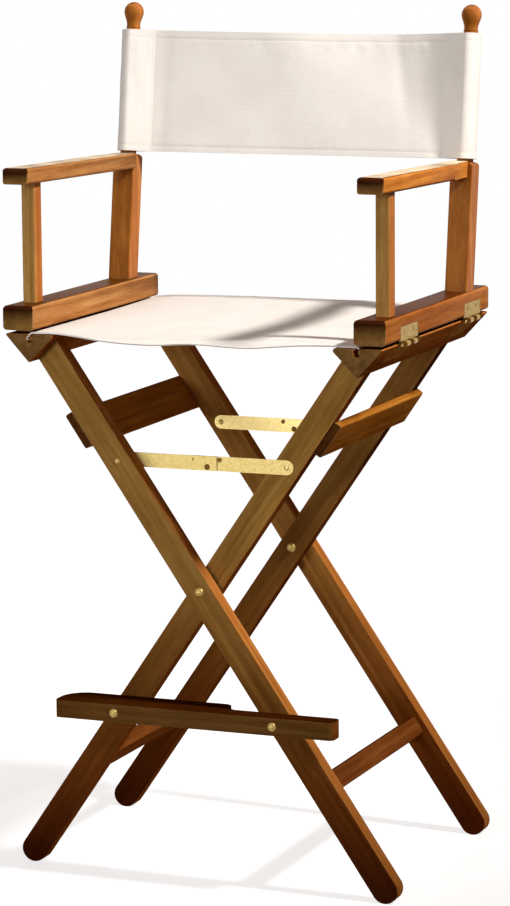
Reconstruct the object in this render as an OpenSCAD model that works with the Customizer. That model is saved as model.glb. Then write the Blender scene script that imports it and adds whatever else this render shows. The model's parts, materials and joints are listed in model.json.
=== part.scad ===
// Tall folding director's chair: two scissor frames, two hinged arms, locking stays, footrest, canvas.
// Millimetres. X to the sitter's left-hand side of the front view, front at -Y, Z up, floor at z = 0.

/* [Scissor frames] */
// Tilt of the legs from upright
leg_angle = 34.3; // [31:0.1:37]
// Leg width, seen from the front
leg_w = 37; // [30:0.5:42]
// Leg thickness, front to back
leg_t = 24; // [18:0.5:28]
// Height of the scissor pivot
pivot_z = 412; // [390:1:430]
// Outside width over the outer legs, front to back
frame_d = 400; // [360:1:430]
// Height of the seat rails' top face
rail_z = 760; // [740:1:780]
// Length of the seat rails
rail_l = 444; // [420:1:470]
// Width of the seat rails' top face
rail_w = 74; // [68:0.5:80]
// Depth of the seat rails' triangular section
rail_h = 39.6; // [36:0.2:44]
// Width of the upper cross boards along the leg
board_w = 54; // [40:1:60]
// Thickness of the upper cross boards
board_t = 12; // [8:0.5:14]
// Height of the lower stretchers' centre
stretcher_z = 152; // [120:1:180]
// Width of the lower stretchers along the leg
stretcher_w = 29; // [24:1:34]
// Thickness of the lower stretchers
stretcher_t = 22; // [16:1:24]

/* [Arms] */
// Width of the arm bases
base_w = 45; // [40:0.5:48]
// Height of the arm bases
base_h = 33.7; // [28:0.1:38]
// Height of the armrests' top at the front
arm_z = 986.5; // [970:0.5:1000]
// Thickness of the armrests
arm_t = 22.5; // [18:0.5:26]
// Width of the armrests
arm_w = 38; // [34:0.5:42]
// Fall of the armrests towards the back
arm_slope = 1.1; // [0:0.1:2]
// Lean of the back posts
lean = 7.8; // [4:0.1:9]
// Side of the square back posts
post_w = 33; // [28:0.5:34]
// Diameter of the turned sticks in the back pockets
stick_d = 23; // [20:0.5:24]
// Diameter of the ball finials
ball_d = 28.5; // [25:0.5:32]
// Height of the finials' centres
ball_z = 1181; // [1180:1:1200]

/* [Brass hardware] */
// Length of each butt hinge
hinge_l = 70; // [60:1:80]
// Diameter of the hinge barrels
barrel_d = 7.5; // [7:0.1:8]
// Thickness of the hinge leaves
leaf_t = 2.2; // [1.6:0.1:2.4]
// Diameter of the hinge pins
pin_d = 3.2; // [2.6:0.1:3.6]
// Diameter of the main bolts
bolt_d = 8; // [6:0.5:10]
// Height of the folding stays' outer screws
stay_z = 587; // [570:1:600]
// Width of the stay bars
stay_w = 20; // [16:0.5:22]
// Thickness of the stay bars
stay_t = 1.6; // [1.2:0.1:2]

/* [Footrest] */
// Length of the footrest
foot_l = 412; // [380:1:430]
// Height of the footrest's top face
foot_z = 252.5; // [240:0.5:262]
// Thickness of the footrest
foot_t = 24.5; // [20:0.5:28]
// Depth of the footrest in front of the outer legs
foot_d = 30; // [26:0.5:34]

/* [Canvas] */
// Sag of the seat in its middle
sag = 8; // [4:1:24]
// Height of the back panel's lower hem
back_z = 981; // [980:1:990]
// Height of the back panel from hem to hem
back_h = 174; // [160:1:178]

/* [Hidden] */
wood = "#B07038";
brass = "#D8BE78";
cloth = "#F4EFE6";
fit = 0.05;
air = 0.3;
gap = 0.4;
eps = 0.01;
// long enough to cut right through any piece
deep = 100;
// layers, front to back
frames_gap = 2 * stay_t + 3 * gap;
y_a = frame_d / 2;
y_b = y_a - leg_t - frames_gap;
// the whole chair sits with its box centred on the origin
head_h = 3.4;
y_mid = (foot_d + head_h - (rail_l / 2 - y_a)) / 2;
// seat rail corners, right-hand side
apex_z = rail_z - rail_h;
lip = 5.15;
apex_x = ((apex_z - pivot_z) * sin(leg_angle) + leg_w / 2 + lip) / cos(leg_angle);
rail_out = apex_x + rail_w / 2 - 2;
rail_in = apex_x - rail_w / 2 - 2;
face_in = atan((apex_x - rail_in) / rail_h);
face_out = atan((rail_out - apex_x) / rail_h);
foot_u = (pivot_z - leg_w / 2) / cos(leg_angle);
groove_x = apex_x - 0.5;
groove_z = rail_z - 6;
groove_r = 5.35;
dowel_r = 3.5;
// arm base and hinge
base_z = rail_z + 4.3;
base_out = rail_out + 4.5;
base_x = base_out - base_w / 2;
base_top = base_z + base_h;
base_l = rail_l - 12;
hinge_x = rail_out + 5.5;
hinge_z = rail_z - 1;
barrel_r = barrel_d / 2;
leaf_x = hinge_x - barrel_r;
leaf_let = 1.2;
leaf_down = 34;
leaf_up = 24;
hinge_y = [-160, 106];
knuckles = 5;
// arms
post_x = base_x + 2.5;
front_post = [20, 23];
front_post_y = -165;
back_post_y = 141.5;
shoulder_z = 977;
arm_y = -220;
arm_u = (ball_z - base_top) / cos(lean);
stick_u = (shoulder_z - base_top) / cos(lean);
ball_r = ball_d / 2;
stick_r = stick_d / 2;
neck_r = 9.7;
pear_l = 19;
// stays: outer screws on the leg lines, centre rivet a little low and off centre
stay_x = (stay_z - pivot_z) * tan(leg_angle);
rivet_x = 4;
rivet_z = stay_z - 4.6;
square_end = 14;
tail = 24;
stud_r = 3;
stop_x = rivet_x + square_end + air + stud_r;
stop_z = stay_z + 5.4;
screw_r = 2.5;
// footrest
bolt_z = foot_z - foot_t / 2;
bolt_x = (pivot_z - bolt_z) * tan(leg_angle);
foot_y = -y_a - foot_d;
foot_back = -y_b - air;
bolt_u = (pivot_z - bolt_z) / cos(leg_angle);
stay_u = (stay_z - pivot_z) / cos(leg_angle);

// ---------- helpers ----------
function arc(cx, cy, r, a0, a1, n = 8) =
    [for (i = [0:n]) [cx + r * cos(a0 + (a1 - a0) * i / n), cy + r * sin(a0 + (a1 - a0) * i / n)]];

module placed() {
    translate([0, y_mid, 0]) children();
}

module left() {
    mirror([1, 0, 0]) children();
}

// bar of section a by b with rounded long edges, standing on the origin
module bar(a, b, l, r) {
    translate([-a / 2 + r, -b / 2, 0]) cube([a - 2 * r, b, l]);
    translate([-a / 2, -b / 2 + r, 0]) cube([a, b - 2 * r, l]);
    for (x = [-1, 1], y = [-1, 1])
        translate([x * (a / 2 - r), y * (b / 2 - r), 0]) cylinder(h = l, r = r, $fn = 24);
}

// block along Y with its top front edge rounded over
module nosed(w, l, h, r) {
    translate([-w / 2, r, 0]) cube([w, l - r, h]);
    translate([-w / 2, 0, 0]) cube([w, l, h - r]);
    translate([-w / 2, r, h - r]) rotate([0, 90, 0]) cylinder(h = w, r = r, $fn = 48);
}

// cylinder along Y between two depths
module rod(x, z, y0, y1, r, n = 32) {
    translate([x, y0, z]) rotate([-90, 0, 0]) cylinder(h = y1 - y0, r = r, $fn = n);
}

// profile in the X-Z plane drawn along Y between two depths
module along_y(y0, y1) {
    translate([0, y1, 0]) rotate([90, 0, 0]) linear_extrude(height = y1 - y0) children();
}

// low domed head, flat side at y, dome towards dir
module dome(x, z, y, r, h, dir) {
    big = (r * r + h * h) / (2 * h);
    translate([x, y, z]) rotate([dir < 0 ? 90 : -90, 0, 0])
        rotate_extrude($fn = 32)
            polygon(concat([[0, 0]], [for (i = [0:6])
                let (t = asin(r / big) * (1 - i / 6)) [big * sin(t), big * cos(t) - big + h]]));
}

// ---------- scissor frames ----------
module leg_frame() {
    translate([0, 0, pivot_z]) rotate([0, leg_angle, 0]) children();
}

module rail_inner_side() {
    translate([apex_x, 0, apex_z]) rotate([0, -face_in, 0])
        translate([0, -frame_d, -rail_h]) cube([rail_w, 2 * frame_d, 4 * rail_h]);
}

// leg rising to the right between two depths
module leg(y0, y1, holes) {
    difference() {
        leg_frame() {
            translate([-leg_w / 2, y0, -foot_u]) cube([leg_w, y1 - y0, foot_u + (rail_z - pivot_z) * 1.3]);
            rod(0, -foot_u, y0, y1, leg_w / 2, 64);
        }
        rail_inner_side();
        leg_frame() rod(0, 0, y0 - 1, y1 + 1, bolt_d / 2 + fit);
        leg_frame() for (h = holes) rod(0, h[0], y0 - 1, y1 + 1, h[1] + fit);
    }
}

module outer_front_leg() color(wood) placed() left()
    leg(-y_a, -y_a + leg_t, [[stay_u, screw_r], [-bolt_u, bolt_d / 2]]);

module outer_back_leg() color(wood) placed() left()
    leg(y_a - leg_t, y_a, [[stay_u, screw_r]]);

module inner_front_leg() color(wood) placed()
    leg(-y_b, -y_b + leg_t, [[stay_u, screw_r]]);

module inner_back_leg() color(wood) placed()
    leg(y_b - leg_t, y_b, [[stay_u, screw_r]]);

board_u = (rail_z - pivot_z) * 0.796;
module board(y0, y1) {
    leg_frame() translate([leg_w / 2 + board_t / 2, y0, board_u])
        rotate([-90, 0, 0]) bar(board_t, board_w, y1 - y0, 3);
}
module outer_board() color(wood) placed() left() board(-y_a, y_a);
module inner_board() color(wood) placed() board(-y_b + 4, y_b - 4);

stretcher_u = (pivot_z - stretcher_z) / cos(leg_angle);
module stretcher(y0, y1) {
    leg_frame() translate([0, y0, -stretcher_u])
        rotate([-90, 0, 0]) bar(stretcher_t, stretcher_w, y1 - y0, 2.5);
}
module outer_stretcher() color(wood) placed() left() stretcher(-y_a + leg_t, y_a - leg_t);
module inner_stretcher() color(wood) placed() stretcher(-y_b + leg_t, y_b - leg_t);

// ---------- seat rails ----------
corner = 3.5;
module rail_face_frame() {
    translate([rail_out, 0, rail_z]) rotate([0, face_out, 0]) children();
}

module seat_rail() {
    half = (90 + face_in) / 2;
    reach = corner / tan((90 - face_in) / 2);
    difference() {
        along_y(-rail_l / 2, rail_l / 2) polygon(concat(
            [[rail_out, rail_z - 1.5], [apex_x + 1.5, apex_z + 1.7]],
            arc(apex_x, apex_z + 2.6, 1.6, -45, -135, 4),
            arc(rail_in + reach, rail_z - corner, corner, 90 + 2 * half, 90, 8),
            [[rail_out - 1.5, rail_z]]));
        rod(groove_x, groove_z, -rail_l, rail_l, groove_r, 48);
        translate([groove_x - 2.5, -rail_l, groove_z]) cube([5, 2 * rail_l, 20]);
        for (y = hinge_y) rail_face_frame()
            translate([-leaf_let, y, -leaf_down]) cube([10, hinge_l, leaf_down + 6]);
    }
}
module left_seat_rail() color(wood) placed() left() seat_rail();
module right_seat_rail() color(wood) placed() seat_rail();

module seat_dowel(end) rod(groove_x, groove_z, -end, end, dowel_r, 32);
module left_seat_dowel() color(wood) placed() left() seat_dowel(rail_l / 2 - 4);
module right_seat_dowel() color(wood) placed() seat_dowel(rail_l / 2 - 12);

// ---------- butt hinges ----------
step = hinge_l / knuckles;
module knuckle(y, k) {
    difference() {
        rod(hinge_x, hinge_z, y + k * step + gap / 2, y + (k + 1) * step - gap / 2, barrel_r, 40);
        rod(hinge_x, hinge_z, y - 1, y + hinge_l + 1, pin_d / 2 + fit, 32);
    }
}

module leaf_bore(y) {
    difference() {
        children();
        rod(hinge_x, hinge_z, y - 1, y + hinge_l + 1, barrel_r - 0.6, 40);
    }
}

module upper_leaves() {
    for (y = hinge_y) {
        translate([leaf_x, y, hinge_z + barrel_r + 0.55])
            cube([leaf_t, hinge_l, leaf_up - barrel_r - 0.55]);
        leaf_bore(y) for (k = [1, 3])
            translate([leaf_x, y + k * step + gap / 2, hinge_z])
                cube([leaf_t, step - gap, barrel_r + 1]);
        for (k = [1, 3]) knuckle(y, k);
    }
}
module left_upper_leaves() color(brass) placed() left() upper_leaves();
module right_upper_leaves() color(brass) placed() upper_leaves();

// the lower leaf lies in the rail's slanted face and bends out to the barrel
module lower_leaves() {
    dx = hinge_x - rail_out;
    dz = hinge_z - rail_z;
    turn = atan2(dx, -dz - 1.2);
    for (y = hinge_y) {
        rail_face_frame() translate([-leaf_let, y, -leaf_down]) cube([leaf_t, hinge_l, leaf_down]);
        leaf_bore(y) for (k = [0, 2, 4])
            translate([hinge_x, y + k * step + gap / 2, hinge_z]) rotate([0, turn, 0])
                translate([-leaf_t / 2, 0, -7]) cube([leaf_t, step - gap, 7]);
        for (k = [0, 2, 4]) knuckle(y, k);
    }
}
module left_lower_leaves() color(brass) placed() left() lower_leaves();
module right_lower_leaves() color(brass) placed() lower_leaves();

module hinge_pins() {
    for (y = hinge_y) {
        rod(hinge_x, hinge_z, y + gap / 2 - eps, y + hinge_l - gap / 2 + eps, pin_d / 2, 32);
        dome(hinge_x, hinge_z, y + gap / 2, 2.6, 1.1, -1);
        dome(hinge_x, hinge_z, y + hinge_l - gap / 2, 2.6, 1.1, 1);
    }
}
module left_hinge_pins() color(brass) placed() left() hinge_pins();
module right_hinge_pins() color(brass) placed() hinge_pins();

// ---------- arms ----------
module arm_base() {
    difference() {
        translate([base_x, -rail_l / 2 + 2, base_z]) intersection() {
            translate([0, 0, base_h / 2]) rotate([-90, 0, 0]) bar(base_w, base_h, base_l, 5);
            nosed(base_w, base_l, base_h, 6);
        }
        for (y = hinge_y) translate([leaf_x, y, base_z - 1])
            cube([10, hinge_l, hinge_z + leaf_up - base_z + 1]);
    }
}
module left_arm_base() color(wood) placed() left() arm_base();
module right_arm_base() color(wood) placed() arm_base();

module arm_frame() {
    translate([post_x - 1.5, arm_y, arm_z - arm_t]) rotate([-arm_slope, 0, 0]) children();
}

module front_upright() {
    difference() {
        translate([post_x, front_post_y, base_top])
            bar(front_post[0], front_post[1], arm_z - base_top, 2);
        arm_frame() translate([-deep / 2, -10, 0]) cube([deep, 2 * deep, deep]);
    }
}
module left_front_post() color(wood) placed() left() front_upright();
module right_front_post() color(wood) placed() front_upright();

module back_frame() {
    translate([post_x, back_post_y, base_top]) rotate([-lean, 0, 0]) children();
}

// square post turned down to a stick with a ball finial
module back_upright() {
    difference() {
        back_frame() {
            intersection() {
                translate([0, 0, -10]) bar(post_w, post_w, stick_u + 20, 2.5);
                rotate_extrude($fn = 64) polygon(concat(
                    [[0, -10], [post_w, -10], [post_w, stick_u - post_w / 2 + 3]],
                    [for (i = [0:6]) let (t = 15 * i)
                        [stick_r + (post_w * 0.75 - stick_r) * cos(t), stick_u - 12 + 12 * sin(t)]],
                    [[0, stick_u]]));
            }
            rotate_extrude($fn = 48) polygon(concat(
                [[0, stick_u - 20], [stick_r, stick_u - 20], [stick_r, arm_u - 27], [stick_r - 0.8, arm_u - 26],
                [neck_r + 0.2, arm_u - 24.4], [neck_r, arm_u - 23.6]],
                arc(neck_r, arm_u - 22.4, 0.9, -90, 90, 6),
                [for (i = [0:8]) let (t = i / 8)
                    [neck_r + (ball_r - neck_r) * (1 - cos(180 * t)) / 2, arm_u - pear_l * (1 - t)]],
                arc(0, arm_u, ball_r, 11.25, 90, 7)));
        }
        translate([0, 0, base_top - deep]) cube([2 * post_x, 2 * back_post_y, deep]);
    }
}
module left_back_post() color(wood) placed() left() back_upright();
module right_back_post() color(wood) placed() back_upright();

// flat arm, its outer side hollowed down to a tongue against the back post
arm_l = 420;
scallop_d = 8;
scallop_y = 288;
scallop_l = 75;
module armrest() {
    w = arm_w / 2;
    difference() {
        arm_frame() intersection() {
            linear_extrude(height = arm_t) polygon(concat(
                arc(-w + 2.5, 2.5, 2.5, 180, 270, 4),
                arc(w - 2.5, 2.5, 2.5, 270, 360, 4),
                [for (i = [0:10]) let (t = i / 10)
                    [w - scallop_d * (1 - pow(1 - t, 2)), scallop_y + scallop_l * t]],
                [[w - scallop_d, arm_l], [-w, arm_l]]));
            translate([0, 0, arm_t / 2]) rotate([-90, 0, 0]) bar(arm_w, arm_t, arm_l, 5);
            nosed(arm_w, arm_l, arm_t, 8);
        }
        back_frame() translate([-deep / 2, -post_w / 2, 0]) cube([deep, 2 * deep, arm_u]);
    }
}
module left_armrest() color(wood) placed() left() armrest();
module right_armrest() color(wood) placed() armrest();

// ---------- bolts ----------
module pivot_bolt(head, nut) {
    // head and nut are the depths of the outer faces; the washer fills the space between the frames
    s = head < 0 ? 1 : -1;
    washer = -s * (y_a - leg_t);
    y0 = min(head, nut);
    y1 = max(head, nut);
    rod(0, pivot_z, y0 - 2 * air, y1 + 2 * air, bolt_d / 2);
    dome(0, pivot_z, y0 - (abs(y0) < abs(y_a) - 1 ? air : 0), bolt_d * 0.85, 3.6, -1);
    dome(0, pivot_z, y1 + (abs(y1) < abs(y_a) - 1 ? air : 0), bolt_d * 0.85, 3.6, 1);
    rod(0, pivot_z, min(washer, washer + s * (frames_gap - air)),
        max(washer, washer + s * (frames_gap - air)), bolt_d);
}
module front_pivot_bolt() color(brass) placed() pivot_bolt(-y_a, -y_b + leg_t);
module back_pivot_bolt() color(brass) placed() pivot_bolt(y_a, y_b - leg_t);

// screws that carry the stays on the outer legs
module outer_stay_screws() color(brass) placed() {
    y0 = y_a - leg_t - gap - stay_t;
    rod(-stay_x, stay_z, -y_a - eps, -y0 + 0.3, screw_r);
    dome(-stay_x, stay_z, -y_a, 4, 2, -1);
    dome(-stay_x, stay_z, -y0 + 0.1, 4, 1.2, 1);
    rod(-stay_x, stay_z, y0 - 0.3, y_a + eps, screw_r);
    dome(-stay_x, stay_z, y_a, 4, 2, 1);
    dome(-stay_x, stay_z, y0 - 0.1, 4, 1.2, -1);
}

module inner_stay_screws() color(brass) placed() {
    for (s = [-1, 1]) {
        rod(stay_x, stay_z, min(s * y_b, s * (y_b - leg_t)), max(s * y_b, s * (y_b - leg_t)), screw_r);
        dome(stay_x, stay_z, s * (y_b - leg_t), 4, 2, -s);
    }
}

// ---------- folding stays ----------
stay_a = -y_a + leg_t + gap;
stay_b = stay_a + stay_t + gap;
// flat bar with a round outer end; side is where its outer screw lies
module stay_bar(side, inner, y0, hole) {
    x0 = min(side * stay_x, inner);
    difference() {
        union() {
            translate([x0, y0, stay_z - stay_w / 2]) cube([abs(side * stay_x - inner), stay_t, stay_w]);
            rod(side * stay_x, stay_z, y0, y0 + stay_t, stay_w / 2, 48);
        }
        rod(side * stay_x, stay_z, y0 - 1, y0 + stay_t + 1, hole);
        children();
    }
}

module slot_cut(x, z, y0) {
    rod(x - 1.4, z, y0 - 1, y0 + stay_t + 1, 2.8, 24);
    rod(x + 1.4, z, y0 - 1, y0 + stay_t + 1, 2.8, 24);
    translate([x - 1.4, y0 - 1, z - 2.8]) cube([2.8, stay_t + 2, 5.6]);
}

// square-ended bar with the slot; s is the side its square end points to
module square_bar(s, y0, hole) {
    stay_bar(-s, s * (rivet_x + square_end), y0, hole) {
        rod(s * rivet_x, rivet_z, y0 - 1, y0 + stay_t + 1, screw_r + fit);
        slot_cut(-s * 14, stay_z + 5, y0);
    }
}

// bar with the stop stud
module stop_bar(s, y0, hole) {
    stay_bar(s, s * (rivet_x - tail), y0, hole) {
        rod(s * rivet_x, rivet_z, y0 - 1, y0 + stay_t + 1, screw_r);
        rod(s * stop_x, stop_z, y0 - 1, y0 + stay_t + 1, 2);
    }
}

module front_stay_left() color(brass) placed()
    square_bar(1, stay_a, screw_r + fit);
module front_stay_right() color(brass) placed() {
    stop_bar(1, stay_b, screw_r);
    rod(stay_x, stay_z, stay_b - eps, stay_b + stay_t, screw_r);
    dome(stay_x, stay_z, stay_b, 4.2, 1.3, -1);
}
module back_stay_left() color(brass) placed()
    stop_bar(-1, -stay_a - stay_t, screw_r + fit);
module back_stay_right() color(brass) placed() {
    square_bar(-1, -stay_b - stay_t, screw_r);
    rod(stay_x, stay_z, -stay_b - stay_t, -stay_b + eps, screw_r);
    dome(stay_x, stay_z, -stay_b, 4.2, 1.3, 1);
}

// centre rivet and stop stud, fixed in the stop bar and reaching forward past the square-ended bar
module stay_rivets(s, y0) {
    front = y0 - gap - stay_t;
    rod(s * rivet_x, rivet_z, front - 0.3, y0 + stay_t, screw_r);
    dome(s * rivet_x, rivet_z, front - 0.1, 4, 1.4, -1);
    rod(s * stop_x, stop_z, y0 - 0.1, y0 + stay_t, 2);
    rod(s * stop_x, stop_z, front + 0.1, y0, stud_r);
}
module front_stay_rivets() color(brass) placed() stay_rivets(1, stay_b);
module back_stay_rivets() color(brass) placed() stay_rivets(-1, -stay_a - stay_t);

// ---------- footrest ----------
step_x = 40;
step_r = (foot_back + y_a + air) / 2;
module footrest() color(wood) placed() {
    x = foot_l / 2;
    back = -y_a - air;
    difference() {
        translate([0, 0, foot_z - foot_t]) linear_extrude(height = foot_t) polygon(concat(
            arc(-x + 8, foot_y + 8, 8, 180, 270, 6),
            arc(x - 8, foot_y + 8, 8, 270, 360, 6),
            arc(x - 8, back - 8, 8, 0, 90, 6),
            arc(step_x + step_r, back + step_r, step_r, 270, 180, 6),
            arc(step_x - step_r, foot_back - step_r, step_r, 0, 90, 6),
            arc(-x + 35, foot_back - 35, 35, 90, 180, 10)));
        for (s = [-1, 1]) rod(s * bolt_x, bolt_z, foot_y - 1, foot_back + 1, bolt_d / 2 + fit);
    }
}
module footrest_pivot_bolt() color(brass) placed() {
    rod(bolt_x, bolt_z, foot_y - 0.5, -y_a + leg_t - 4, bolt_d / 2);
    dome(bolt_x, bolt_z, foot_y, bolt_d * 0.8, head_h, -1);
}
module footrest_rest_bolt() color(brass) placed() {
    rod(-bolt_x, bolt_z, foot_y - 0.5, foot_back - air, bolt_d / 2);
    dome(-bolt_x, bolt_z, foot_y, bolt_d * 0.8, head_h, -1);
}

// ---------- canvas ----------
cloth_t = 1.2;
loop_r = dowel_r + air + cloth_t / 2;
// half of the seat's run: sagging middle, over the rail, down the slot and round the dowel
function run(n = 12) = concat(
    [for (i = [0:n]) [rail_in * i / n, rail_z + air + cloth_t / 2 - sag * (1 - pow(i / n, 2))]],
    [[groove_x - 1.5, rail_z + air + cloth_t / 2], [groove_x + 0.6, rail_z - 0.2]],
    arc(groove_x, groove_z, loop_r, 72, -250, 14));
function side_of(a, b) = let (d = b - a) [-d[1], d[0]] / norm(d);
function ribbon(p, t) = let (n = len(p) - 1,
    q = [for (i = [0:n]) let (m = side_of(p[max(i - 1, 0)], p[min(i + 1, n)])) m * t / 2])
    concat([for (i = [0:n]) p[i] + q[i]], [for (i = [n:-1:0]) p[i] - q[i]]);
module seat_canvas() color(cloth) placed() {
    half = run();
    last = len(half) - 1;
    path = concat([for (i = [last:-1:1]) [-half[i][0], half[i][1]]], half);
    along_y(-rail_l / 2 + 7, rail_l / 2 - 7) polygon(ribbon(path, cloth_t));
}

// sleeves round the turned sticks, joined by a flat panel
pocket_r = 16;
seam = post_x - 35.5;
module back_half() {
    d = post_x - seam;
    a = acos((pocket_r - 1) / d);
    difference() {
        translate([post_x, 0]) polygon(concat(
            arc(0, 0, pocket_r, 180 + a, 540 - a, 24), [[-d, 1.2], [-d, -1.2]]));
        translate([post_x, 0]) circle(r = stick_r + air, $fn = 48);
    }
    translate([0, -1.2]) square([seam + 1, 2.4]);
}
module back_canvas() color(cloth) placed()
    translate([0, back_post_y, base_top]) rotate([-lean, 0, 0])
        translate([0, 0, (back_z - base_top) / cos(lean)])
            linear_extrude(height = back_h / cos(lean)) {
                back_half();
                mirror([1, 0]) back_half();
            }

left_arm_base();
right_arm_base();
left_front_post();
right_front_post();
left_back_post();
right_back_post();
left_armrest();
right_armrest();
left_upper_leaves();
right_upper_leaves();
left_lower_leaves();
right_lower_leaves();
left_hinge_pins();
right_hinge_pins();
left_seat_rail();
right_seat_rail();
left_seat_dowel();
right_seat_dowel();
outer_front_leg();
outer_back_leg();
inner_front_leg();
inner_back_leg();
outer_board();
inner_board();
outer_stretcher();
inner_stretcher();
front_pivot_bolt();
back_pivot_bolt();
outer_stay_screws();
inner_stay_screws();
front_stay_left();
front_stay_right();
front_stay_rivets();
back_stay_left();
back_stay_right();
back_stay_rivets();
footrest();
footrest_pivot_bolt();
footrest_rest_bolt();
seat_canvas();
back_canvas();
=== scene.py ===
import json
import math
import bpy
import bmesh
import numpy as np
from mathutils import Matrix, Vector, noise

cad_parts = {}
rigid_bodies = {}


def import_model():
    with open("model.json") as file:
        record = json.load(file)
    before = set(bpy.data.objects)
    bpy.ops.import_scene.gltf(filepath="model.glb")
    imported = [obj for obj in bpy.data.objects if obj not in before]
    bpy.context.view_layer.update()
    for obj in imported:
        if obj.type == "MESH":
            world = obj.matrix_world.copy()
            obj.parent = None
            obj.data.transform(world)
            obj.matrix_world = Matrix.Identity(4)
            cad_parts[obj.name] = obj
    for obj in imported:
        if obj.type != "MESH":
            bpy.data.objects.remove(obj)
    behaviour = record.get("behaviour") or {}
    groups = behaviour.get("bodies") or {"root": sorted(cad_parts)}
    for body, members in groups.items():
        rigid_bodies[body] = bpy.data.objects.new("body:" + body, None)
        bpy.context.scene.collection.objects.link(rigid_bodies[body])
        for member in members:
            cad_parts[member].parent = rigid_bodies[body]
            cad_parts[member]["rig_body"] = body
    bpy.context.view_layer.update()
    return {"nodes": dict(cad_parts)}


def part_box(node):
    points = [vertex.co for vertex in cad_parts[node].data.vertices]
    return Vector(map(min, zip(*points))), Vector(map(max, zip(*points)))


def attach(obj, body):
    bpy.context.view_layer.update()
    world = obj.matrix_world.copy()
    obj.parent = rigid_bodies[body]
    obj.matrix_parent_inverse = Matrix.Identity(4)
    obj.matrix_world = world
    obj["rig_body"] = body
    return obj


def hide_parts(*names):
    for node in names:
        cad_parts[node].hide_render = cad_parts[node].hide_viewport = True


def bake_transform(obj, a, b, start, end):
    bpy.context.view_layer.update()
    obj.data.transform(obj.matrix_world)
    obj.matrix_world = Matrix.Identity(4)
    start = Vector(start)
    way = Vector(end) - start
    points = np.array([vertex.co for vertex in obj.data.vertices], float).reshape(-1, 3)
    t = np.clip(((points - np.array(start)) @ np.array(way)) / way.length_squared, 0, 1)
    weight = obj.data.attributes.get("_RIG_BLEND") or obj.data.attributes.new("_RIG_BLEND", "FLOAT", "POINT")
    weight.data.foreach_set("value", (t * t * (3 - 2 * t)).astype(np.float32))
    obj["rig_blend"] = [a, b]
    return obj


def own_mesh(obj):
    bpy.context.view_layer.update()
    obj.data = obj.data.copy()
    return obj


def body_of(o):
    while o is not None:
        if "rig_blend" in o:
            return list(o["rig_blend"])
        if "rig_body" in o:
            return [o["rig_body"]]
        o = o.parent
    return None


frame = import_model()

nodes = frame["nodes"]
# metres in a millimetre: the sizes of cloth, screws and edges are written in millimetres
MM = 0.001
# the legs' and arms' own middle lies this many metres behind the frame's origin, since the footrest
# stands out in front
Y_MID = 0.0057

# ---------- small tools ----------


def linear(code):
    """An sRGB hex colour as linear RGBA."""
    parts = [int(code[i:i + 2], 16) / 255 for i in (1, 3, 5)]
    return tuple(c / 12.92 if c <= 0.04045 else ((c + 0.055) / 1.055) ** 2.4 for c in parts) + (1.0,)


def add(tree, kind, links=None, **settings):
    """Adds a shader or geometry node; links maps an input's name or number to a value or to another
    node's output."""
    node = tree.nodes.new(kind)
    for key, value in settings.items():
        setattr(node, key, value)
    for key, value in (links or {}).items():
        socket = node.inputs[key]
        if isinstance(value, bpy.types.NodeSocket):
            tree.links.new(value, socket)
        else:
            socket.default_value = value
    return node


def new_material(name):
    material = bpy.data.materials.new(name)
    material.use_nodes = True
    material.node_tree.nodes.clear()
    return material, material.node_tree


def ramp(tree, value, stops):
    """A colour ramp over value; its stops are places with hex colours or RGBA factors."""
    node = add(tree, "ShaderNodeValToRGB", {"Fac": value})
    marks = node.color_ramp.elements
    while len(marks) < len(stops):
        marks.new(0.5)
    for mark, (place, colour) in zip(marks, stops):
        mark.position = place
        mark.color = colour if not isinstance(colour, str) else linear(colour)
    return node.outputs["Color"]


def mix(tree, share, first, second, way="MIX"):
    """Two colours mixed, or multiplied, by share."""
    return add(tree, "ShaderNodeMix", {0: share, 6: first, 7: second},
               data_type="RGBA", blend_type=way).outputs[2]


def smooth(t):
    """0 to 1 with a soft start and end."""
    t = min(1.0, max(0.0, t))
    return t * t * (3 - 2 * t)


def ridge(gap, width):
    """1 at no gap, dying away over the width."""
    return math.exp(-(gap / width) ** 2)


# ---------- materials ----------


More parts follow.
